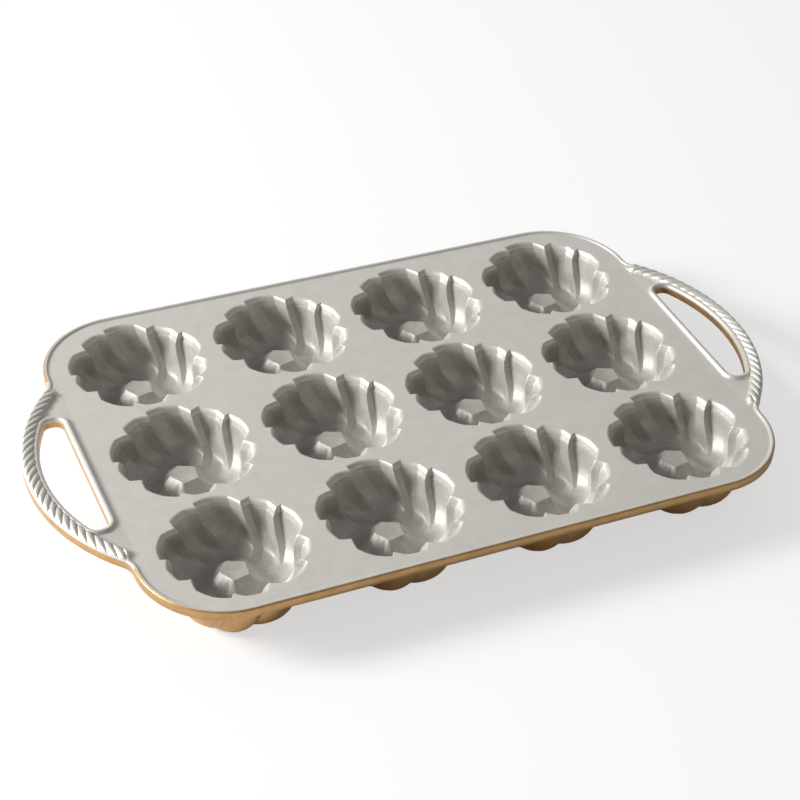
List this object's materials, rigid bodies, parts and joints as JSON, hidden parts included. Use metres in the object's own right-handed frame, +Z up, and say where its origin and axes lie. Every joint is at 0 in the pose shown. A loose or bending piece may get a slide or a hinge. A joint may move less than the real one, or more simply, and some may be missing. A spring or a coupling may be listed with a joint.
{
  "type": "mini bundt pan",
  "caption": "Cast baking pan with a grid of small fluted ring-cake cups, each twisted like a braid round a centre post, and an open rope-edged handle at each end.",
  "frame": {"origin": "middle of the footprint, on the plane the cups' bottoms stand on", "axes": "+X along the pan's length through both handles, +Y across it to the back, +Z up out of the cups"},
  "size_m": [0.419, 0.253, 0.0365],
  "materials": {
    "deck_metal": "light warm grey satin non-stick coating on top, golden coating below",
    "edge_metal": "satin non-stick coating on top, golden coating outside and below",
    "handle_metal": "light warm grey satin non-stick coating on top, golden coating below",
    "rope_metal": "light warm grey satin non-stick coating on top, golden coating outside and below",
    "cup_metal": "metallic grey satin non-stick coating inside, golden coating outside"
  },
  "bodies": {
    "root": {"deck": "deck_metal", "edge_front": "edge_metal", "edge_back": "edge_metal", "handle_left": "handle_metal", "handle_right": "handle_metal", "rope_left": "rope_metal", "rope_right": "rope_metal", "cup_r1c1": "cup_metal", "cup_r1c2": "cup_metal", "cup_r1c3": "cup_metal", "cup_r1c4": "cup_metal", "cup_r2c1": "cup_metal", "cup_r2c2": "cup_metal", "cup_r2c3": "cup_metal", "cup_r2c4": "cup_metal", "cup_r3c1": "cup_metal", "cup_r3c2": "cup_metal", "cup_r3c3": "cup_metal", "cup_r3c4": "cup_metal"}
  },
  "joints": []
}
